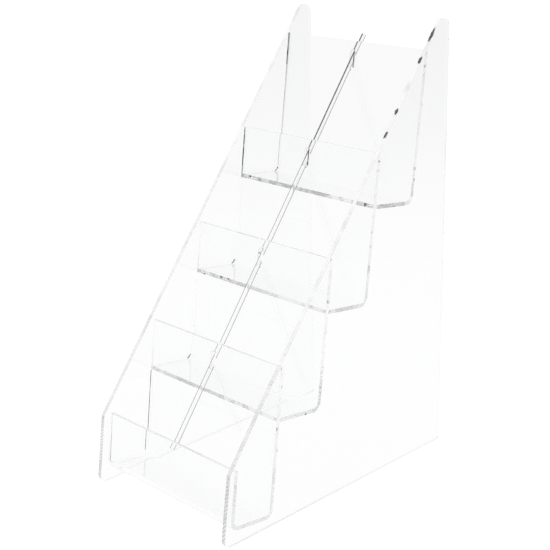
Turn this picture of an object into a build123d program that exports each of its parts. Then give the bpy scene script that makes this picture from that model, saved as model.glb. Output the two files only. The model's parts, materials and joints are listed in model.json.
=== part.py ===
"""Four-tier clear acrylic brochure rack with one removable divider rod.

Frame: X is the width (right is +X), Y is the depth (the front faces -Y), Z is up.
The origin is on the table, at the middle of the width and of the depth. All sizes are in millimetres.
"""

import math
import os

from build123d import *

# Side panels: flat plates, each standing on its bottom edge
OVERALL_WIDTH = 240.0
OVERALL_DEPTH = 396.5
OVERALL_HEIGHT = 568.0
PANEL_THICKNESS = 6.0
KNEE_SETBACK = 13.5  # how far the front edge leans back by the knee
KNEE_HEIGHT = 91.5
TOP_FLAT = 17.5  # level length at the top, before the slope starts
FRONT_FOOT_RADIUS = 10.0
REAR_FOOT_RADIUS = 4.0
KNEE_RADIUS = 12.0
SLOPE_TOP_RADIUS = 3.0
REAR_TOP_RADIUS = 9.0

# Tier sheets: bent plates cemented between the panels
SHEET_THICKNESS = 5.0
SHEET_LEAN = 7.5  # degrees that every wall leans back, and every floor falls to the rear
BEND_RADIUS = 7.0  # inside radius of a heated bend
FIRST_SHEET_SETBACK = 14.0  # outer front corner of the first sheet, behind the panels' toes
FIRST_SHEET_CLEARANCE = 17.0  # the same corner above the table
FIRST_TIER_RUN = 62.7  # front face of one wall to the front face of the next, along the floor
TIER_RUN = 69.4
TIER_RISE = 122.0
FRONT_LIP_HEIGHT = 75.3  # each lip is measured from the underside of the floor behind it
LIP_HEIGHT = 68.0
BACK_REST_HEIGHT = 69.0  # the last wall, above the level a fifth floor would have
TIERS = 4

# Divider rod and the slots it threads
ROD_DIAMETER = 6.0
ROD_LENGTH = 577.0
ROD_ANGLE = 53.1  # degrees above the level
ROD_END_CHAMFER = 0.8
ROD_STOP_GAP = 0.1  # lower end of the rod to the back of the front lip
ROD_HEIGHT_AT_FIRST_SLOT = 38.5  # rod axis on the front face of the second lip
SLOT_WIDTH = 7.0
SLOT_BOTTOM = 31.5  # above the underside of the floor behind the lip
SLOT_TOP = 57.5

TOE_LEAN = math.atan2(KNEE_SETBACK, KNEE_HEIGHT)
# The toe's rounding takes the sharp corner off, so that corner lies a little ahead of the real depth
TOE_CORNER_AHEAD = FRONT_FOOT_RADIUS * (1 / math.cos(TOE_LEAN) + math.tan(TOE_LEAN) - 1)
TOE_Y = -OVERALL_DEPTH / 2 - TOE_CORNER_AHEAD
HEEL_Y = OVERALL_DEPTH / 2
INNER_WIDTH = OVERALL_WIDTH - 2 * PANEL_THICKNESS
LEAN = math.radians(SHEET_LEAN)
UP_WALL = Vector(0, math.sin(LEAN), math.cos(LEAN))
ALONG_FLOOR = Vector(0, math.cos(LEAN), -math.sin(LEAN))
ROD_AXIS = Vector(0, math.cos(math.radians(ROD_ANGLE)), math.sin(math.radians(ROD_ANGLE)))


def point(origin, along=0.0, up=0.0):
    """The point reached from origin by going back along a floor, then up a wall."""
    return origin + ALONG_FLOOR * along + UP_WALL * up


def extrude_profile(corners, radii, start_x, width):
    """A plate with this side outline, rounded at each corner by its radius, standing from start_x."""
    plane = Plane(origin=(start_x, 0, 0), x_dir=(0, 1, 0), z_dir=(1, 0, 0))
    with BuildPart() as part:
        with BuildSketch(plane):
            with BuildLine():
                Polyline([(p.Y, p.Z) for p in corners], close=True)
            make_face()
        extrude(amount=width)
    solid = part.part
    for corner, radius in zip(corners, radii):
        if radius:
            edges = [
                edge
                for edge in solid.edges().filter_by(Axis.X)
                if math.hypot(edge.center().Y - corner.Y, edge.center().Z - corner.Z) < 0.01
            ]
            solid = fillet(edges, radius)
    return solid


def side_panel(start_x):
    """One flat side panel: leaning toe edge, knee, long slope, level top and upright rear edge."""
    corners = [
        Vector(0, TOE_Y, 0),
        Vector(0, HEEL_Y, 0),
        Vector(0, HEEL_Y, OVERALL_HEIGHT),
        Vector(0, HEEL_Y - TOP_FLAT, OVERALL_HEIGHT),
        Vector(0, TOE_Y + KNEE_SETBACK, KNEE_HEIGHT),
    ]
    radii = [FRONT_FOOT_RADIUS, REAR_FOOT_RADIUS, REAR_TOP_RADIUS, SLOPE_TOP_RADIUS, KNEE_RADIUS]
    return extrude_profile(corners, radii, start_x, PANEL_THICKNESS)


def wall_bases():
    """Where the front face of each wall meets the level of its floor's underside, front to back."""
    bases = [Vector(0, TOE_Y + FIRST_SHEET_SETBACK, FIRST_SHEET_CLEARANCE)]
    for tier in range(TIERS):
        run = TIER_RUN if tier else FIRST_TIER_RUN
        bases.append(point(bases[-1], run, TIER_RISE))
    return bases


def bent_sheet(tier, bases):
    """One tier: a floor, a heated bend behind it and the wall that rises to the next tier's lip.

    The first sheet is also bent up at the front to make its own lip.
    """
    base = bases[tier]
    run = TIER_RUN if tier else FIRST_TIER_RUN
    lip = LIP_HEIGHT if tier < TIERS - 1 else BACK_REST_HEIGHT
    wall_top = TIER_RISE + lip
    thick = SHEET_THICKNESS
    rear = run + thick
    outer_radius = BEND_RADIUS + thick
    corners = [
        point(base, rear, 0),
        point(base, rear, wall_top),
        point(base, run, wall_top),
        point(base, run, thick),
    ]
    radii = [outer_radius, 0, 0, BEND_RADIUS]
    if tier:
        corners += [point(base, thick, thick), point(base, thick, 0)]
        radii += [0, 0]
    else:
        corners += [
            point(base, thick, thick),
            point(base, thick, FRONT_LIP_HEIGHT),
            point(base, 0, FRONT_LIP_HEIGHT),
            point(base, 0, 0),
        ]
        radii += [BEND_RADIUS, 0, 0, outer_radius]
    sheet = extrude_profile(corners, radii, -INNER_WIDTH / 2, INNER_WIDTH)
    return sheet - rod_slot(bases[tier + 1])


def rod_slot(wall_base):
    """The round-ended cutter for one upright slot, at the middle of the width of a wall."""
    middle = point(wall_base, 0, (SLOT_BOTTOM + SLOT_TOP) / 2)
    plane = Plane(origin=middle, x_dir=(UP_WALL.X, UP_WALL.Y, UP_WALL.Z), z_dir=ALONG_FLOOR)
    with BuildPart() as cutter:
        with BuildSketch(plane):
            SlotOverall(SLOT_TOP - SLOT_BOTTOM, SLOT_WIDTH)
        extrude(amount=2 * SHEET_THICKNESS, both=True)
    return cutter.part


def divider_rod(bases):
    """The loose rod, threading every slot and stopping against the back of the front lip."""
    crossing = point(bases[1], 0, ROD_HEIGHT_AT_FIRST_SLOT)
    stop_face = point(bases[0], SHEET_THICKNESS + ROD_STOP_GAP, 0)
    # The forward edge of the rod's lower end is what meets the lip
    forward = Vector(0, -ROD_AXIS.Z, ROD_AXIS.Y) * (ROD_DIAMETER / 2)
    reach = (crossing + forward - stop_face).dot(ALONG_FLOOR) / ROD_AXIS.dot(ALONG_FLOOR)
    lower_end = crossing - ROD_AXIS * reach
    with BuildPart() as rod:
        with BuildSketch(Plane(origin=lower_end, x_dir=(1, 0, 0), z_dir=ROD_AXIS)):
            Circle(ROD_DIAMETER / 2)
        extrude(amount=ROD_LENGTH)
        chamfer(rod.edges().filter_by(GeomType.CIRCLE), ROD_END_CHAMFER)
    return rod.part


def main():
    bases = wall_bases()
    nodes = {
        "side_panel_left": side_panel(-OVERALL_WIDTH / 2),
        "side_panel_right": side_panel(OVERALL_WIDTH / 2 - PANEL_THICKNESS),
        "first_tier_sheet": bent_sheet(0, bases),
        "second_tier_sheet": bent_sheet(1, bases),
        "third_tier_sheet": bent_sheet(2, bases),
        "fourth_tier_sheet": bent_sheet(3, bases),
        "divider_rod": divider_rod(bases),
    }
    os.makedirs("parts", exist_ok=True)
    for name, solid in nodes.items():
        export_step(solid, f"parts/{name}.step")


main()
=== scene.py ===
"""The clear acrylic brochure rack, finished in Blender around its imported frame. All sizes are in metres."""

import json
import math

import bmesh
import bpy
from mathutils import Matrix, Vector


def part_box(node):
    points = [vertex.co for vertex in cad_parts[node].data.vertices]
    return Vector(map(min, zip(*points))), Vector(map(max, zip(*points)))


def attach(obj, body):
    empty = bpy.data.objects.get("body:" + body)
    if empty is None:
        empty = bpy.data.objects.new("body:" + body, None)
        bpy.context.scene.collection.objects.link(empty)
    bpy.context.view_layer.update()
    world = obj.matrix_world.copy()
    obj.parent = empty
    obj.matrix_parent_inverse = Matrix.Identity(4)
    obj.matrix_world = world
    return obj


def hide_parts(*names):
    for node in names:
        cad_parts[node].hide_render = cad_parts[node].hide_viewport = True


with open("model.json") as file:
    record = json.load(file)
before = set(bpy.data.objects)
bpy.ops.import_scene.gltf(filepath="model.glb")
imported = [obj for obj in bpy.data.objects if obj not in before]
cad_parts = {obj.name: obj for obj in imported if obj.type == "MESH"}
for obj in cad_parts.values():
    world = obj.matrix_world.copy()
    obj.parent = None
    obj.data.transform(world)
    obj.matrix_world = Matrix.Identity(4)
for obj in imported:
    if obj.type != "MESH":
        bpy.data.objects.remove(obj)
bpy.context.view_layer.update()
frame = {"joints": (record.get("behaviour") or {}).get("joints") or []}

# ---------------------------------------------------------------- driving dimensions
TIERS = ("first", "second", "third", "fourth")

SHEET_THICKNESS = 0.005
SHEET_LEAN = math.radians(7.5)  # walls lean back by this, and floors fall to the rear by it
BEND_RADIUS = 0.007  # on the inside of the bend
FIRST_TIER_RUN = 0.0627  # from the front of a tier's lip to the front of its wall
TIER_RUN = 0.0694
TIER_RISE = 0.122
FRONT_LIP_HEIGHT = 0.0753
LIP_HEIGHT = 0.068
BACK_REST_HEIGHT = 0.069
FIRST_SHEET_SETBACK = 0.014
FIRST_SHEET_CLEARANCE = 0.017
UP_WALL = Vector((0, math.sin(SHEET_LEAN), math.cos(SHEET_LEAN)))
ALONG_FLOOR = Vector((0, math.cos(SHEET_LEAN), -math.sin(SHEET_LEAN)))

KNEE_SETBACK = 0.0135
KNEE_HEIGHT = 0.0915
TOP_FLAT = 0.0175
FRONT_FOOT_RADIUS = 0.010
REAR_FOOT_RADIUS = 0.004
KNEE_RADIUS = 0.012
SLOPE_TOP_RADIUS = 0.003
REAR_TOP_RADIUS = 0.009

SLOT_WIDTH = 0.007
SLOT_BOTTOM = 0.0315
SLOT_TOP = 0.0575
SLOT_PATCH_HALF_WIDTH = 0.0075  # the part of the wall's face that the slot is cut in
SLOT_PATCH_MARGIN = 0.004  # how far that part reaches below and above the slot

ROD_END_ROUNDING = 0.0008

CEMENT_GAP = 0.0001  # left between two cemented pieces, for the film of cement
FILM_HALF_THICKNESS = CEMENT_GAP / 4
EDGE_ROUNDING = 0.00035
FILLET_LIFT = EDGE_ROUNDING / 8  # keeps a fillet just off the sheet

# How finely the round shapes are made
CORNER_STEPS = 14
BEND_STEPS = 20
SLOT_STEPS = 16
ROD_SIDES = 96
ROD_END_STEPS = 5

# Stations of a sheet's cross-section, counted back from its top edge
BEND_END = -5
BEND_START = BEND_END - BEND_STEPS
LIP_FOOT = -4
BELOW_SLOT = -3
ABOVE_SLOT = -2


# ---------------------------------------------------------------- outlines
def rounded_outline(corners, radii):
    """Points (y, z) of a closed outline, each corner replaced by an arc of its radius."""
    points = []
    for i, (corner, radius) in enumerate(zip(corners, radii)):
        corner = Vector(corner)
        back = (Vector(corners[i - 1]) - corner).normalized()
        ahead = (Vector(corners[(i + 1) % len(corners)]) - corner).normalized()
        half = back.angle(ahead) / 2
        reach = radius / math.tan(half)
        centre = corner + (back + ahead).normalized() * (radius / math.sin(half))
        start = corner + back * reach - centre
        sweep = math.pi - 2 * half
        turn = sweep if start.y * back.x > start.x * back.y else -sweep
        for k in range(CORNER_STEPS + 1):
            points.append(centre + Matrix.Rotation(turn * k / CORNER_STEPS, 2) @ start)
    return points


def wall_bases():
    """The panels' toe, and the foot of each lip's front face, level with the underside of its floor."""
    toe_lean = math.atan2(KNEE_SETBACK, KNEE_HEIGHT)
    toe_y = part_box("side_panel_left")[0].y
    toe_y -= FRONT_FOOT_RADIUS * (1 / math.cos(toe_lean) + math.tan(toe_lean) - 1)
    bases = [Vector((0, toe_y + FIRST_SHEET_SETBACK, FIRST_SHEET_CLEARANCE))]
    for tier in range(len(TIERS)):
        run = TIER_RUN if tier else FIRST_TIER_RUN
        bases.append(bases[-1] + ALONG_FLOOR * run + UP_WALL * TIER_RISE)
    return toe_y, bases


TOE_Y, BASES = wall_bases()


# ---------------------------------------------------------------- mesh helpers
def new_piece(name, mesh, body, materials):
    """A finished object from a bmesh, riding on its body."""
    data = bpy.data.meshes.new(name)
    bmesh.ops.recalc_face_normals(mesh, faces=mesh.faces)
    mesh.to_mesh(data)
    mesh.free()
    piece = bpy.data.objects.new(name, data)
    bpy.context.scene.collection.objects.link(piece)
    for material in materials:
        data.materials.append(material)
    data.polygons.foreach_set("use_smooth", [True] * len(data.polygons))
    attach(piece, body)
    return piece


def keep_flats_flat(piece):
    """Shades the large faces flat, and leaves the turn to the small ones at their edges."""
    normals = piece.modifiers.new("flat normals", "WEIGHTED_NORMAL")
    normals.keep_sharp = True
    return normals


def round_edges(piece):
    """Rounds every sharp edge a little, and keeps the flats flat in the shading."""
    bevel = piece.modifiers.new("edge rounding", "BEVEL")
    bevel.width = EDGE_ROUNDING
    bevel.segments = 2
    bevel.limit_method = "ANGLE"
    bevel.angle_limit = math.radians(40)
    keep_flats_flat(piece).weight = 100


# ---------------------------------------------------------------- side panels
def side_panel(name, inner_x, outer_x, materials):
    """A flat plate: slot 0 is its two faces, slot 1 its cut edge all round."""
    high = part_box(name)[1]
    corners = [
        (TOE_Y, 0),
        (high.y, 0),
        (high.y, high.z),
        (high.y - TOP_FLAT, high.z),
        (TOE_Y + KNEE_SETBACK, KNEE_HEIGHT),
    ]
    radii = [FRONT_FOOT_RADIUS, REAR_FOOT_RADIUS, REAR_TOP_RADIUS, SLOPE_TOP_RADIUS, KNEE_RADIUS]
    outline = rounded_outline(corners, radii)
    mesh = bmesh.new()
    rings = [[mesh.verts.new((x, p.x, p.y)) for p in outline] for x in (inner_x, outer_x)]
    for ring in rings:
        mesh.faces.new(ring).material_index = 0
    count = len(outline)
    for i in range(count):
        j = (i + 1) % count
        mesh.faces.new((rings[0][i], rings[0][j], rings[1][j], rings[1][i])).material_index = 1
    piece = new_piece(name.replace("side_panel", "panel"), mesh, "rack", materials)
    round_edges(piece)
    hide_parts(name)


# ---------------------------------------------------------------- tier sheets
def sheet_stations(tier):
    """The sheet's cross-section as stations: (inner point, outer point), front edge to top edge.

    Inner is the side that the leaflets touch, outer the underside of the floor and back of the wall.
    """
    base = BASES[tier]
    thick = SHEET_THICKNESS
    run = TIER_RUN if tier else FIRST_TIER_RUN
    lip = LIP_HEIGHT if tier < len(TIERS) - 1 else BACK_REST_HEIGHT

    def at(along, up):
        return base + ALONG_FLOOR * along + UP_WALL * up

    def bend(along, up, ray):
        return tuple(
            at(along + ray[0] * radius, up + ray[1] * radius)
            for radius in (BEND_RADIUS, BEND_RADIUS + thick)
        )

    stations = []
    turns = [math.pi / 2 * k / BEND_STEPS for k in range(BEND_STEPS + 1)]
    centre_up = thick + BEND_RADIUS
    if tier:
        front = thick + CEMENT_GAP
        stations.append((at(front, thick), at(front, 0)))
    else:
        stations.append((at(thick, FRONT_LIP_HEIGHT), at(0, FRONT_LIP_HEIGHT)))
        for turn in turns:
            stations.append(bend(thick + BEND_RADIUS, centre_up, (-math.cos(turn), -math.sin(turn))))
    for turn in turns:
        stations.append(bend(run - BEND_RADIUS, centre_up, (math.sin(turn), -math.cos(turn))))
    for height in (0, SLOT_BOTTOM - SLOT_PATCH_MARGIN, SLOT_TOP + SLOT_PATCH_MARGIN, lip):
        up = TIER_RISE + height
        stations.append((at(run, up), at(run + thick, up)))
    return stations


def slot_outline(tier, side, depth):
    """Half of the slot's outline on one face of the wall, top to bottom, bulging to side (-1 or +1)."""
    base = BASES[tier + 1]
    radius = SLOT_WIDTH / 2
    points = []
    for centre, first in ((SLOT_TOP - radius, 0.0), (SLOT_BOTTOM + radius, math.pi / 2)):
        for k in range(SLOT_STEPS + 1):
            turn = first + math.pi / 2 * k / SLOT_STEPS
            height = centre + radius * math.cos(turn)
            point = base + UP_WALL * height + ALONG_FLOOR * depth
            point.x = side * radius * math.sin(turn)
            points.append(point)
    return points


def tier_sheet(tier, materials):
    """A bent sheet with its rod slot: slot 0 is its faces, 1 its cut edges, 2 its cemented edges."""
    node = TIERS[tier] + "_tier_sheet"
    stations = sheet_stations(tier)
    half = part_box(node)[1].x - CEMENT_GAP
    columns = (-half, -SLOT_PATCH_HALF_WIDTH, 0.0, SLOT_PATCH_HALF_WIDTH, half)
    mesh = bmesh.new()

    def place(point, x):
        return mesh.verts.new((x, point.y, point.z))

    grid = [[[place(point, x) for x in columns] for point in station] for station in stations]
    slot_row = len(stations) + BELOW_SLOT
    cut, cemented = 1, 2
    halves = {}
    for face in (0, 1):
        depth = SHEET_THICKNESS * face
        for side in (-1, 1):
            halves[face, side] = [mesh.verts.new(p) for p in slot_outline(tier, side, depth)[1:-1]]
        ends = slot_outline(tier, 1, depth)
        top = mesh.verts.new((0, ends[0].y, ends[0].z))
        bottom = mesh.verts.new((0, ends[-1].y, ends[-1].z))
        for side in (-1, 1):
            halves[face, side] = [top, *halves[face, side], bottom]
    for row in range(len(stations) - 1):
        for face in (0, 1):
            for col in range(len(columns) - 1):
                low_left, low_right = grid[row][face][col], grid[row][face][col + 1]
                up_right, up_left = grid[row + 1][face][col + 1], grid[row + 1][face][col]
                if row == slot_row and col == 1:
                    loop = [up_right, up_left, low_left, low_right, *reversed(halves[face, -1])]
                elif row == slot_row and col == 2:
                    loop = [up_left, up_right, low_right, low_left, *reversed(halves[face, 1])]
                else:
                    loop = [low_left, low_right, up_right, up_left]
                mesh.faces.new(loop)
        for col in (0, len(columns) - 1):
            corners = [grid[row][f][col] for f in (0, 1)] + [grid[row + 1][f][col] for f in (1, 0)]
            mesh.faces.new(corners).material_index = cemented
    for row, finish in ((0, cemented if tier else cut), (len(stations) - 1, cut)):
        inner, outer = grid[row]
        for col in range(len(columns) - 1):
            corners = [inner[col], inner[col + 1], outer[col + 1], outer[col]]
            mesh.faces.new(corners).material_index = finish
    for side in (-1, 1):
        near, far = halves[0, side], halves[1, side]
        for k in range(len(near) - 1):
            mesh.faces.new((near[k], near[k + 1], far[k + 1], far[k])).material_index = cut
    piece = new_piece(TIERS[tier] + "_tier", mesh, "rack", materials)
    round_edges(piece)
    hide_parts(node)


# ---------------------------------------------------------------- cement
def cement(tier, materials):
    """Films of cement: slot 0 is hazy, along the floor and its front edge, and slot 1 clear, up the wall.

    The first tier's films are clear all along, but for the flat of its floor.
    """
    node = TIERS[tier] + "_tier_sheet"
    stations = sheet_stations(tier)
    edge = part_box(node)[1].x
    hazy, clear = 0, 1
    mesh = bmesh.new()

    def slab(loops, kinds):
        """A thin solid through successive loops of four points."""
        loops = [[mesh.verts.new(p) for p in loop] for loop in loops]
        for a, b, kind in zip(loops, loops[1:], kinds):
            for k in range(4):
                face = mesh.faces.new((a[k], a[(k + 1) % 4], b[(k + 1) % 4], b[k]))
                face.material_index = kind
        mesh.faces.new(loops[0]).material_index = kinds[0]
        mesh.faces.new(loops[-1]).material_index = kinds[-1]

    rows = len(stations) - 1
    if tier:
        wall_rows = -BEND_END - 1
        kinds = [hazy] * (rows - wall_rows) + [clear] * wall_rows
    else:
        kinds = [clear] * rows
        kinds[1 + BEND_STEPS] = hazy
    for side in (-1, 1):
        middle = side * (edge - CEMENT_GAP / 2)
        near, far = middle - FILM_HALF_THICKNESS, middle + FILM_HALF_THICKNESS
        loops = [
            [(near, *inner.yz), (far, *inner.yz), (far, *outer.yz), (near, *outer.yz)]
            for inner, outer in stations
        ]
        slab(loops, kinds)
    if tier:
        half = edge - CEMENT_GAP
        top, bottom = stations[0]
        ahead = ALONG_FLOOR * -(CEMENT_GAP / 2)
        skin = ALONG_FLOOR * FILM_HALF_THICKNESS
        loops = [
            [Vector((x, *p.yz)) + ahead + away
             for p, away in ((top, -skin), (top, skin), (bottom, skin), (bottom, -skin))]
            for x in (-half, half)
        ]
        slab(loops, [hazy])
    piece = new_piece(TIERS[tier] + "_tier_cement", mesh, "rack", materials)
    piece.data.polygons.foreach_set("use_smooth", [False] * len(piece.data.polygons))


# Painted shade: the strips below are black, and stand in for the dark lines that light makes along the inner
# corners, round the bends and beside the slots
def fillet(name, tier, corners, leg, material):
    """A thin three-sided strip through the corners, each (point, one leg's direction, the other's).

    A strip through four or more corners tapers to a quarter at both ends.
    """
    mesh = bmesh.new()
    loops = []
    for k, (point, one, other) in enumerate(corners):
        tapered = len(corners) > 3 and k in (0, len(corners) - 1)
        size = leg / 4 if tapered else leg
        lifted = point + (one + other) * FILLET_LIFT
        loops.append([mesh.verts.new(p) for p in (lifted, lifted + one * size, lifted + other * size)])
    for a, b in zip(loops, loops[1:]):
        for k in range(3):
            mesh.faces.new((a[k], a[(k + 1) % 3], b[(k + 1) % 3], b[k]))
    mesh.faces.new(loops[0])
    mesh.faces.new(loops[-1])
    piece = new_piece(f"{TIERS[tier]}_tier_{name}", mesh, "rack", [material])


def paint_corner_shade(name, tier, first, end, leg, material):
    """Painted shade: a black strip along the left inner corner, from the first station up to the end one."""
    corner_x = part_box(TIERS[tier] + "_tier_sheet")[0].x
    corners = [
        (Vector((corner_x, *inner.yz)), Vector((1, 0, 0)), (inner - outer).normalized())
        for inner, outer in sheet_stations(tier)[first:end]
    ]
    fillet(name, tier, corners, leg, material)


def slot_shade_line(tier, leg, material):
    """Painted shade: a black strip down the right side of the rod slot, on the wall's front face."""
    ends = [SLOT_BOTTOM + SLOT_WIDTH / 2, SLOT_TOP - SLOT_WIDTH / 4]
    points = [BASES[tier + 1] + UP_WALL * up for up in ends]
    corners = [(Vector((SLOT_WIDTH / 2, *p.yz)), Vector((1, 0, 0)), -ALONG_FLOOR) for p in points]
    fillet("slot_shade_line", tier, corners, leg, material)


# ---------------------------------------------------------------- divider rod
def divider_rod(materials):
    """The round rod: slot 0 is its polished side, slot 1 its cut ends."""
    slide = frame["joints"][0]
    axis = Vector(slide["axis"]).normalized()
    low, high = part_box("divider_rod")
    radius = (high.x - low.x) / 2
    across = Vector((0, -axis.z, axis.y))
    # The box runs from the low edge of one end to the high edge of the other
    lower = Vector((0, low.y + radius * axis.z, low.z + radius * axis.y))
    upper = Vector((0, high.y - radius * axis.z, high.z - radius * axis.y))
    length = (upper - lower).length
    profile = []
    for k in range(ROD_END_STEPS + 1):
        turn = math.pi / 2 * k / ROD_END_STEPS
        along = ROD_END_ROUNDING * (1 - math.cos(turn))
        profile.append((along, radius - ROD_END_ROUNDING * (1 - math.sin(turn))))
    rings = profile + [(length - along, r) for along, r in reversed(profile)]
    mesh = bmesh.new()
    loops = []
    for along, r in rings:
        loop = []
        for k in range(ROD_SIDES):
            turn = 2 * math.pi * k / ROD_SIDES
            spoke = Vector((1, 0, 0)) * math.cos(turn) + across * math.sin(turn)
            loop.append(mesh.verts.new(lower + axis * along + spoke * r))
        loops.append(loop)
    for a, b in zip(loops, loops[1:]):
        for k in range(ROD_SIDES):
            j = (k + 1) % ROD_SIDES
            mesh.faces.new((a[k], a[j], b[j], b[k]))
    for loop in (loops[0], loops[-1]):
        mesh.faces.new(loop).material_index = 1
    piece = new_piece("rod", mesh, "rod", materials)
    keep_flats_flat(piece)
    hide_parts("divider_rod")


# ---------------------------------------------------------------- node helpers
VALUE, COLOUR, VECTOR = "NodeSocketFloat", "NodeSocketColor", "NodeSocketVector"


def feed(tree, socket, value):
    """Sets the socket, or links it when the value is another socket."""
    if isinstance(value, bpy.types.NodeSocket):
        tree.links.new(value, socket)
    else:
        socket.default_value = value


def add(tree, kind, settings=None, **inputs):
    """A new shader node with its settings and inputs given by name."""
    node = tree.nodes.new("ShaderNode" + kind)
    for key, value in (settings or {}).items():
        setattr(node, key, value)
    for label, value in inputs.items():
        feed(tree, node.inputs[label.replace("_", " ")], value)
    return node


def maths(tree, operation, *values, clamp=True):
    """The values combined, and clamped to 0..1 unless told otherwise."""
    node = add(tree, "Math", {"operation": operation, "use_clamp": clamp})
    for socket, value in zip(node.inputs, values):
        feed(tree, socket, value)
    return node.outputs["Value"]


def vector_maths(tree, operation, *vectors):
    """The vectors combined: a vector, or a value for a length or a dot product."""
    node = add(tree, "VectorMath", {"operation": operation})
    for socket, vector in zip(node.inputs, vectors):
        feed(tree, socket, vector)
    return node.outputs["Value" if operation in ("LENGTH", "DOT_PRODUCT") else "Vector"]


def spread(tree, source, low, high, to_low=0.0, to_high=1.0):
    """The source's value from low to high, eased from to_low to to_high."""
    node = add(
        tree, "MapRange", {"interpolation_type": "SMOOTHSTEP"},
        Value=source, From_Min=low, From_Max=high, To_Min=to_low, To_Max=to_high,
    )
    return node.outputs["Result"]


def noise(tree, place, scale, detail=2.0, distortion=0.0):
    """Cloudy noise, 0..1: the scale is about how many clouds there are to a metre."""
    node = add(tree, "TexNoise", Vector=place, Scale=scale, Detail=detail, Distortion=distortion)
    return node.outputs["Fac"]


def grey(tree, level):
    """The level as a grey."""
    return add(tree, "CombineColor", Red=level, Green=level, Blue=level).outputs["Color"]


def blend_tones(tree, mask, plain, marked):
    """The plain tone, turning to the marked one where the mask is 1."""
    node = add(tree, "Mix", {"data_type": "RGBA"}, Factor=mask, A=plain, B=marked)
    return node.outputs["Result"]


def object_place(tree):
    """The surface's place on the object, in metres."""
    return add(tree, "TexCoord").outputs["Object"]


def node_group(name, inputs, outputs):
    """An empty node group with its named sockets, and its input and output ends."""
    tree = bpy.data.node_groups.new(name, "ShaderNodeTree")
    for label, kind, value in inputs:
        tree.interface.new_socket(label, in_out="INPUT", socket_type=kind).default_value = value
    for label, kind in outputs:
        tree.interface.new_socket(label, in_out="OUTPUT", socket_type=kind)
    return tree, tree.nodes.new("NodeGroupInput").outputs, tree.nodes.new("NodeGroupOutput").inputs


def use(tree, group, **inputs):
    """The outputs of a node that runs the group, its inputs set by name."""
    node = tree.nodes.new("ShaderNodeGroup")
    node.node_tree = group
    for label, value in inputs.items():
        feed(tree, node.inputs[label], value)
    return node.outputs


# ---------------------------------------------------------------- tones
CLEAR = (0.988, 0.991, 0.99, 1)
SAWN_CLEAR = (0.987, 0.987, 0.987, 1)
DUST_TONE = (0.72, 0.71, 0.7, 1)
BLACK = (0.01, 0.01, 0.01, 1)
# painted shade for the rod's outline
ROD_PAINTED_OUTLINE_TONE = (0.03, 0.03, 0.03, 1)
WHITE = (1, 1, 1, 1)


# ---------------------------------------------------------------- shared effects
def make_saw_marks():
    """A sawn edge that a flame has half polished: fine strokes, in dull patches between clear ones."""
    tree, given, result = node_group(
        "saw_marks",
        [("Strokes", VECTOR, (60.0, 900.0, 900.0)), ("Dullest", VALUE, 0.14), ("Darkest", VALUE, 0.86)],
        [("Roughness", VALUE), ("Tone", COLOUR), ("Height", VALUE)],
    )
    place = object_place(tree)
    stretched = vector_maths(tree, "MULTIPLY", place, given["Strokes"])
    strokes = noise(tree, stretched, scale=1.0, detail=3.0)
    patches = spread(tree, noise(tree, place, scale=30.0, distortion=0.8), low=0.42, high=0.6)
    dull = maths(tree, "MULTIPLY", patches, spread(tree, strokes, low=0.3, high=0.7, to_low=0.3))
    grime = spread(tree, noise(tree, place, scale=26.0, distortion=1.0), low=0.46, high=0.66)
    feed(tree, result["Roughness"], maths(tree, "MULTIPLY", dull, given["Dullest"]))
    feed(tree, result["Tone"], blend_tones(tree, grime, SAWN_CLEAR, grey(tree, given["Darkest"])))
    feed(tree, result["Height"], maths(tree, "MULTIPLY", strokes, patches))
    return tree


HAIRLINE_SETS = ((0.5, 0.0), (-0.9, 7.0), (1.3, 19.0))  # each set's turn, and its shift along the noise
HAIRLINE_STRETCH = (9.0, 70.0, 6.0)


def make_handling_marks():
    """A polished face that has been wiped and handled: hairlines, specks of dust, and a faint ripple."""
    tree, given, result = node_group(
        "handling_marks",
        [("Hairline", VALUE, 0.16), ("Dust", VALUE, 0.8)],
        [("Roughness", VALUE), ("Tone", COLOUR), ("Height", VALUE)],
    )
    place = object_place(tree)
    # A hairline runs where stretched noise crosses its middle value
    lines = 0.0
    for turn, shift in HAIRLINE_SETS:
        aligned = add(tree, "Mapping", Vector=place, Rotation=(turn, 0.0, 0.4 * turn),
                      Location=(shift, shift, 0.0), Scale=HAIRLINE_STRETCH)
        field = noise(tree, aligned.outputs["Vector"], scale=1.0, detail=1.0)
        off_middle = maths(tree, "SUBTRACT", field, 0.5, clamp=False)
        distance = maths(tree, "ABSOLUTE", off_middle, clamp=False)
        line = spread(tree, distance, low=0.0, high=0.006, to_low=1.0, to_high=0.0)
        lines = maths(tree, "MAXIMUM", lines, line)
    rare = spread(tree, noise(tree, place, scale=14.0), low=0.5, high=0.66)
    lines = maths(tree, "MULTIPLY", lines, rare)
    # Each cell has one speck, and few cells keep theirs
    cells = add(tree, "TexVoronoi", Vector=place, Scale=120.0)
    speck = spread(tree, cells.outputs["Distance"], low=0.03, high=0.06, to_low=1.0, to_high=0.0)
    chance = add(tree, "SeparateColor", Color=cells.outputs["Color"]).outputs["Red"]
    dust = maths(tree, "MULTIPLY", speck, spread(tree, chance, low=0.86, high=0.9))
    line_roughness = maths(tree, "MULTIPLY", lines, given["Hairline"])
    dust_roughness = maths(tree, "MULTIPLY", dust, 0.5)
    dust_cover = maths(tree, "MULTIPLY", dust, given["Dust"])
    feed(tree, result["Roughness"], maths(tree, "MAXIMUM", line_roughness, dust_roughness))
    feed(tree, result["Tone"], blend_tones(tree, dust_cover, CLEAR, DUST_TONE))
    feed(tree, result["Height"], noise(tree, place, scale=7.0, detail=0.0))
    return tree


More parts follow.
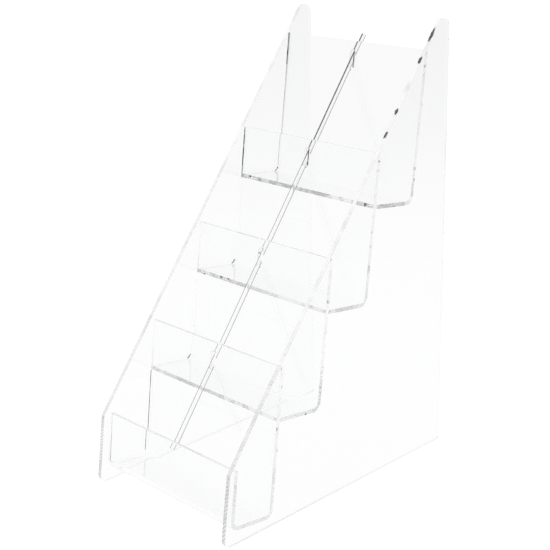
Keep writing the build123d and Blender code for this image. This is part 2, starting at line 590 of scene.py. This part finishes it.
def make_set_cement():
    """Set solvent cement: haze in patches, with trapped bubbles that look black."""
    tree, given, result = node_group(
        "set_cement",
        [("Cover", VALUE, 1.0), ("Thinnest", VALUE, 0.0), ("Lightest", VALUE, 1.0),
         ("Bubbles", VALUE, 1.0)],
        [("Alpha", VALUE), ("Tone", COLOUR)],
    )
    place = object_place(tree)
    mottle = noise(tree, place, scale=260.0, detail=3.0, distortion=0.6)
    patches = spread(tree, noise(tree, place, scale=38.0, detail=3.0, distortion=1.2), low=0.45, high=0.58)
    haze = maths(tree, "MAXIMUM", patches, given["Thinnest"])
    cover = maths(tree, "MULTIPLY", haze, spread(tree, mottle, low=0.3, high=0.62, to_low=0.5))
    cover = maths(tree, "MULTIPLY", cover, given["Cover"])
    from_bubble = add(tree, "TexVoronoi", Vector=place, Scale=85.0).outputs["Distance"]
    bubbles = spread(tree, from_bubble, low=0.16, high=0.24, to_low=1.0, to_high=0.0)
    some = spread(tree, noise(tree, place, scale=17.0, detail=1.0), low=0.50, high=0.54)
    bubbles = maths(tree, "MULTIPLY", maths(tree, "MULTIPLY", bubbles, some), given["Bubbles"])
    light = spread(tree, mottle, low=0.35, high=0.6, to_low=0.88)
    light = maths(tree, "MULTIPLY", light, given["Lightest"])
    feed(tree, result["Alpha"], maths(tree, "MAXIMUM", cover, bubbles))
    feed(tree, result["Tone"], blend_tones(tree, bubbles, grey(tree, light), BLACK))
    return tree


saw_marks = make_saw_marks()
handling_marks = make_handling_marks()
set_cement = make_set_cement()

# ---------------------------------------------------------------- finishes
ACRYLIC_IOR = 1.49
CEMENT_ROUGHNESS = 0.35
RIPPLE_DEPTH = 0.00004
SAW_MARK_DEPTH = 0.0000015

# Painted shade: the rod's base colour darkens towards its outline, and more on its upper left side, standing
# in for dark reflections
ROD_PAINTED_SHADE_SIDE = (-0.73, -0.54, 0.41)  # the way that the rod's darker side faces
ROD_PAINTED_SIDE_FADE = (0.15, 0.5)
ROD_PAINTED_SHADE_HEIGHTS = (0.385, 0.43)  # the darker side begins between these
ROD_PAINTED_SHADE_GAIN = 3.0
ROD_PAINTED_OUTLINE_FADE = (0.24, 0.48)

# Strokes to a metre: fine along the cut, coarse through the sheet
ACROSS_PANEL_EDGE = (60.0, 1600.0, 1600.0)
ACROSS_SHEET_EDGE = (1600.0, 60.0, 60.0)
ALL_WAYS = (300.0, 300.0, 300.0)
ALL_WAYS_FINE = (700.0, 700.0, 700.0)

# Painted reflections: dark glints on the right panel's slope, standing in for dark reflections along its
# polished edge
GLINT_HALF_WIDTH = 0.0025
GLINT_DEPTH_SHARE = 0.4  # a glint reaches further front to back than up, by one over this
GLINT_RAGGEDNESS = 0.004
GLINT_FADE = (0.7, 1.1)
# Height up the right panel's slope, and half length
RIGHT_PANEL_PAINTED_GLINTS = ((0.550, 0.0095), (0.522, 0.0048), (0.466, 0.0042), (0.441, 0.0045))


def clear_acrylic(name):
    """Colourless cast acrylic, as a Principled glass: the material, its tree and its shader."""
    material = bpy.data.materials.new(name)
    material.use_nodes = True
    tree = material.node_tree
    shader = tree.nodes["Principled BSDF"]
    shader.inputs["Base Color"].default_value = CLEAR
    shader.inputs["Roughness"].default_value = 0.0
    shader.inputs["IOR"].default_value = ACRYLIC_IOR
    shader.inputs["Transmission Weight"].default_value = 1.0
    return material, tree, shader


def relief(tree, shader, height, depth):
    """Bumps the shader's surface by the height, this many metres deep."""
    bump = add(tree, "Bump", Strength=1.0, Distance=depth, Height=height)
    feed(tree, shader.inputs["Normal"], bump.outputs["Normal"])


def polished_face(name):
    """The sheet's own cast surface."""
    material, tree, shader = clear_acrylic(name)
    marks = use(tree, handling_marks)
    feed(tree, shader.inputs["Roughness"], marks["Roughness"])
    feed(tree, shader.inputs["Base Color"], marks["Tone"])
    relief(tree, shader, marks["Height"], RIPPLE_DEPTH)
    return material


def sawn_edge(name, strokes, dullest, darkest):
    """A cut edge, with its strokes to a metre along each axis, its roughest value and its darkest tone."""
    material, tree, shader = clear_acrylic(name)
    marks = use(tree, saw_marks, Strokes=strokes, Dullest=dullest, Darkest=darkest)
    feed(tree, shader.inputs["Roughness"], marks["Roughness"])
    feed(tree, shader.inputs["Base Color"], marks["Tone"])
    relief(tree, shader, marks["Height"], SAW_MARK_DEPTH)
    return material


def paint_dark_glints(material, node, glints):
    """Paints dark glints on a panel's slope, standing in for dark reflections along its edge, each (height,
    half length).
    """
    low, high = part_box(node)
    knee = Vector((TOE_Y + KNEE_SETBACK, KNEE_HEIGHT))
    top = Vector((high.y - TOP_FLAT, high.z))
    tree = material.node_tree
    shader = tree.nodes["Principled BSDF"]
    tone = shader.inputs["Base Color"].links[0].from_socket
    place = object_place(tree)
    cloud = add(tree, "TexNoise", Vector=place, Scale=160.0, Detail=2.0).outputs["Color"]
    centred = vector_maths(tree, "SUBTRACT", cloud, (0.5, 0.5, 0.5))
    ragged = vector_maths(tree, "MULTIPLY_ADD", centred, (GLINT_RAGGEDNESS,) * 3, place)
    painted_glint_mask = 0.0
    for height, half_length in glints:
        along = (height - knee.y) / (top.y - knee.y)
        centre = ((low.x + high.x) / 2, knee.x + (top.x - knee.x) * along, height)
        spot = vector_maths(tree, "SUBTRACT", ragged, centre)
        size = (1 / GLINT_HALF_WIDTH, GLINT_DEPTH_SHARE / half_length, 1 / half_length)
        distance = vector_maths(tree, "LENGTH", vector_maths(tree, "MULTIPLY", spot, size))
        inside = spread(tree, distance, *GLINT_FADE, to_low=1.0, to_high=0.0)
        painted_glint_mask = maths(tree, "MAXIMUM", painted_glint_mask, inside)
    feed(tree, shader.inputs["Base Color"], blend_tones(tree, painted_glint_mask, tone, BLACK))
    return material


def rod_acrylic_with_painted_shade(name):
    """The rod's side: clear in the middle, with painted shade along its outline, where a rod bends light
    most, standing in for dark reflections seen there.
    """
    material, tree, shader = clear_acrylic(name)
    # Painted shade: Layer Weight darkens the base colour towards the outline, and more on the upper left side
    # above a height
    limb = add(tree, "LayerWeight", Blend=0.5).outputs["Facing"]
    facing = add(tree, "NewGeometry").outputs["Normal"]
    one_side = spread(tree, vector_maths(tree, "DOT_PRODUCT", facing, ROD_PAINTED_SHADE_SIDE), *ROD_PAINTED_SIDE_FADE)
    height = add(tree, "SeparateXYZ", Vector=object_place(tree)).outputs["Z"]
    painted_shade_part = maths(tree, "MULTIPLY", one_side, spread(tree, height, *ROD_PAINTED_SHADE_HEIGHTS))
    gain = maths(tree, "MULTIPLY_ADD", painted_shade_part, ROD_PAINTED_SHADE_GAIN, 1.0, clamp=False)
    dark = spread(tree, maths(tree, "MULTIPLY", limb, gain), *ROD_PAINTED_OUTLINE_FADE)
    marks = use(tree, handling_marks)
    feed(tree, shader.inputs["Base Color"], blend_tones(tree, dark, marks["Tone"], ROD_PAINTED_OUTLINE_TONE))
    feed(tree, shader.inputs["Roughness"], marks["Roughness"])
    return material


def cement_film(name, cover, thinnest, lightest, bubbles):
    """Cement: how much it covers at most and at least, its lightest tone, and its bubbles' strength."""
    material = bpy.data.materials.new(name)
    material.use_nodes = True
    tree = material.node_tree
    shader = tree.nodes["Principled BSDF"]
    film = use(tree, set_cement, Cover=cover, Thinnest=thinnest, Lightest=lightest, Bubbles=bubbles)
    feed(tree, shader.inputs["Base Color"], film["Tone"])
    feed(tree, shader.inputs["Alpha"], film["Alpha"])
    shader.inputs["Roughness"].default_value = CEMENT_ROUGHNESS
    shader.inputs["IOR"].default_value = ACRYLIC_IOR
    return material


face_finish = polished_face("polished_face")
rod_painted_outline_finish = rod_acrylic_with_painted_shade("rod_with_painted_outline")
panel_edge = sawn_edge("panel_edge", ACROSS_PANEL_EDGE, dullest=0.06, darkest=0.82)
right_panel_edge_painted_glints = sawn_edge("right_panel_edge_painted_glints", ACROSS_PANEL_EDGE, dullest=0.06, darkest=0.82)
# Painted reflections: four dark glints on the right panel's slope
paint_dark_glints(right_panel_edge_painted_glints, "side_panel_right", RIGHT_PANEL_PAINTED_GLINTS)
sheet_edge = sawn_edge("sheet_edge", ACROSS_SHEET_EDGE, dullest=0.06, darkest=0.94)
joint_edge = sawn_edge("joint_edge", ALL_WAYS, dullest=0.08, darkest=0.9)
rod_end = sawn_edge("rod_end", ALL_WAYS_FINE, dullest=0.2, darkest=0.8)
hazy_cement = cement_film("hazy_cement", cover=0.3, thinnest=0.0, lightest=0.95, bubbles=1.0)
thick_cement = cement_film("thick_cement", cover=0.5, thinnest=0.0, lightest=0.85, bubbles=1.0)
clear_cement = cement_film("clear_cement", cover=0.02, thinnest=0.0, lightest=1.0, bubbles=0.4)
# Painted shade: a black film for the strips along the inner corners and beside the slots
painted_shade_film = cement_film("painted_shade_film", cover=1.6, thinnest=0.45, lightest=0.05, bubbles=1.0)

# ---------------------------------------------------------------- build
FIRST, SECOND, THIRD, FOURTH = range(len(TIERS))
# Painted shade round the bends, standing in for the dark arcs that the bends throw
BEND_SHADE_START, BEND_SHADE_END, BEND_SHADE_LEG = BEND_START + 3, BEND_END - 1, 0.001
# Painted shade along the left inner corners: each line's name, tier, first station, the station that it stops
# before, and leg
CORNER_SHADE_LINES = (
    ("wall_shade_line", FIRST, BEND_END, BELOW_SLOT, 0.0005),
    ("front_shade_line", FIRST, 0, BEND_STEPS, 0.0006),
    ("lip_shade_line", THIRD, LIP_FOOT, None, 0.0011),
    ("top_shade_line", FOURTH, BELOW_SLOT, None, 0.0011),
    ("wall_shade_line", FOURTH, BEND_END, ABOVE_SLOT, 0.0003),
    ("bend_shade_line", SECOND, BEND_SHADE_START, BEND_SHADE_END, BEND_SHADE_LEG),
    ("bend_shade_line", THIRD, BEND_SHADE_START, BEND_SHADE_END, BEND_SHADE_LEG),
    ("bend_shade_line", FOURTH, BEND_SHADE_START, BEND_SHADE_END, BEND_SHADE_LEG),
)
SLOT_SHADE_LEG = 0.0008

left_low, left_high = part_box("side_panel_left")
right_low, right_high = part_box("side_panel_right")
side_panel("side_panel_left", left_high.x, left_low.x, [face_finish, panel_edge])
side_panel("side_panel_right", right_low.x, right_high.x, [face_finish, right_panel_edge_painted_glints])
for tier in range(len(TIERS)):
    tier_sheet(tier, [face_finish, sheet_edge, joint_edge])
    cement(tier, [thick_cement if tier == FOURTH else hazy_cement, clear_cement])
for name, tier, first, end, leg in CORNER_SHADE_LINES:
    paint_corner_shade(name, tier, first, end, leg, painted_shade_film)
# Painted shade: black strips beside the upper two slots
for tier in (THIRD, FOURTH):
    slot_shade_line(tier, SLOT_SHADE_LEG, painted_shade_film)
divider_rod([rod_painted_outline_finish, rod_end])


# ---------------------------------------------------------------- stage
CAMERA_WHITE = 1.15  # a little over white, so that the sweep and the sky have no edge between them
SKY_FADE = (0.25, 0.8)  # from the horizon, 0, to overhead, 1
SKY_LEVELS = (0.96, 0.86)
FLOOR_RADIUS = 9.0
FLOOR_DROP = 0.0002  # keeps the floor off the panels' feet
FLOOR_FADE = (0.4, 2.4)
FLOOR_LEVELS = (0.99, 0.95)
CARD_LIFT = 0.001  # keeps a card's foot off the floor
CARD_FADE = (0.06, 0.6)
CARD_LEVELS = (0.95, 0.45)

CAMERA_PLACE = (1.0703, -1.0401, 0.7737)
CAMERA_TURN, CAMERA_DROP, CAMERA_ROLL = (math.radians(a) for a in (45.58, 19.04, 1.10))
CAMERA_LENS = 82.1  # millimetres, on a 36 mm sensor
LIGHT_BOUNCES = 200  # light runs far inside the edges of clear sheets


def stage_object(name, mesh, material):
    """A part of the studio, lit by its own glow and not counted as a light."""
    data = bpy.data.meshes.new(name)
    mesh.to_mesh(data)
    mesh.free()
    data.materials.append(material)
    material.cycles.emission_sampling = "NONE"
    obj = bpy.data.objects.new(name, data)
    bpy.context.scene.collection.objects.link(obj)
    return obj


def white_for_camera(tree, shaded):
    """Plain white where the camera looks straight at it, and the shaded level in all other light."""
    straight = add(tree, "LightPath").outputs["Is Camera Ray"]
    return add(tree, "Mix", Factor=straight, A=shaded, B=CAMERA_WHITE).outputs["Result"]


def sky():
    """A white horizon, darker overhead."""
    world = bpy.data.worlds.new("studio")
    bpy.context.scene.world = world
    world.use_nodes = True
    tree = world.node_tree
    background = tree.nodes["Background"]
    way = add(tree, "TexCoord").outputs["Generated"]
    height = add(tree, "SeparateXYZ", Vector=way).outputs["Z"]
    shaded = spread(tree, height, *SKY_FADE, *SKY_LEVELS)
    background.inputs["Color"].default_value = WHITE
    feed(tree, background.inputs["Strength"], white_for_camera(tree, shaded))


def floor():
    """A white sweep, a little greyer far from the rack."""
    material = bpy.data.materials.new("white_sweep")
    material.use_nodes = True
    tree = material.node_tree
    shader = tree.nodes["Principled BSDF"]
    shader.inputs["Base Color"].default_value = BLACK
    shader.inputs["Roughness"].default_value = 1.0
    shader.inputs["Specular IOR Level"].default_value = 0.0
    shader.inputs["Emission Color"].default_value = WHITE
    place = add(tree, "NewGeometry").outputs["Position"]
    shaded = spread(tree, vector_maths(tree, "LENGTH", place), *FLOOR_FADE, *FLOOR_LEVELS)
    feed(tree, shader.inputs["Emission Strength"], white_for_camera(tree, shaded))
    mesh = bmesh.new()
    bmesh.ops.create_circle(mesh, cap_ends=True, segments=96, radius=FLOOR_RADIUS)
    stage_object("floor", mesh, material).location.z = -FLOOR_DROP


def card(name, azimuth, distance, width, height):
    """An upright card facing the rack, white at its foot and dark above, seen only in mirrored light."""
    material = bpy.data.materials.new(name)
    material.use_nodes = True
    tree = material.node_tree
    tree.nodes.clear()
    place = add(tree, "NewGeometry").outputs["Position"]
    level = spread(tree, add(tree, "SeparateXYZ", Vector=place).outputs["Z"], *CARD_FADE, *CARD_LEVELS)
    glow = add(tree, "Emission", Strength=level).outputs["Emission"]
    nothing = add(tree, "BsdfTransparent").outputs["BSDF"]
    # Light that has only passed straight through the acrylic doesn't meet the card
    reflections = add(tree, "LightPath").outputs["Glossy Depth"]
    mirrored = maths(tree, "GREATER_THAN", reflections, 0.5, clamp=False)
    either = add(tree, "MixShader", Fac=mirrored)
    feed(tree, either.inputs[1], nothing)
    feed(tree, either.inputs[2], glow)
    add(tree, "OutputMaterial", Surface=either.outputs["Shader"])

    turn = math.radians(azimuth)
    centre = Vector((math.sin(turn), math.cos(turn), 0)) * distance
    along = Vector((math.cos(turn), -math.sin(turn), 0)) * (width / 2)
    foot, top = Vector((0, 0, CARD_LIFT)), Vector((0, 0, height))
    mesh = bmesh.new()
    corners = (centre - along + foot, centre + along + foot, centre + along + top, centre - along + top)
    mesh.faces.new([mesh.verts.new(c) for c in corners])
    obj = stage_object(name, mesh, material)
    obj.visible_camera = False
    obj.visible_diffuse = False
    obj.visible_shadow = False


def camera():
    """The camera, in front of the rack, to its right and a little above it."""
    data = bpy.data.cameras.new("camera")
    data.sensor_width = 36.0
    data.lens = CAMERA_LENS
    data.clip_start = 0.01
    data.clip_end = 100
    obj = bpy.data.objects.new("camera", data)
    bpy.context.scene.collection.objects.link(obj)
    right = Vector((math.cos(CAMERA_TURN), math.sin(CAMERA_TURN), 0))
    forward = Vector((-right.y, right.x, 0))
    ahead = forward * math.cos(CAMERA_DROP) - Vector((0, 0, math.sin(CAMERA_DROP)))
    up = right.cross(ahead)
    level = Matrix((right, up, -ahead)).transposed().to_4x4()
    obj.matrix_world = Matrix.Translation(CAMERA_PLACE) @ level @ Matrix.Rotation(-CAMERA_ROLL, 4, "Z")
    bpy.context.scene.camera = obj


sky()
floor()
card("flag_right", azimuth=45, distance=1.0, width=1.6, height=1.8)
camera()
scene = bpy.context.scene
scene.view_settings.view_transform = "Standard"
scene.cycles.max_bounces = LIGHT_BOUNCES
scene.cycles.transmission_bounces = LIGHT_BOUNCES
scene.cycles.glossy_bounces = LIGHT_BOUNCES
scene.cycles.diffuse_bounces = 3
scene.cycles.caustics_reflective = True
scene.cycles.caustics_refractive = True
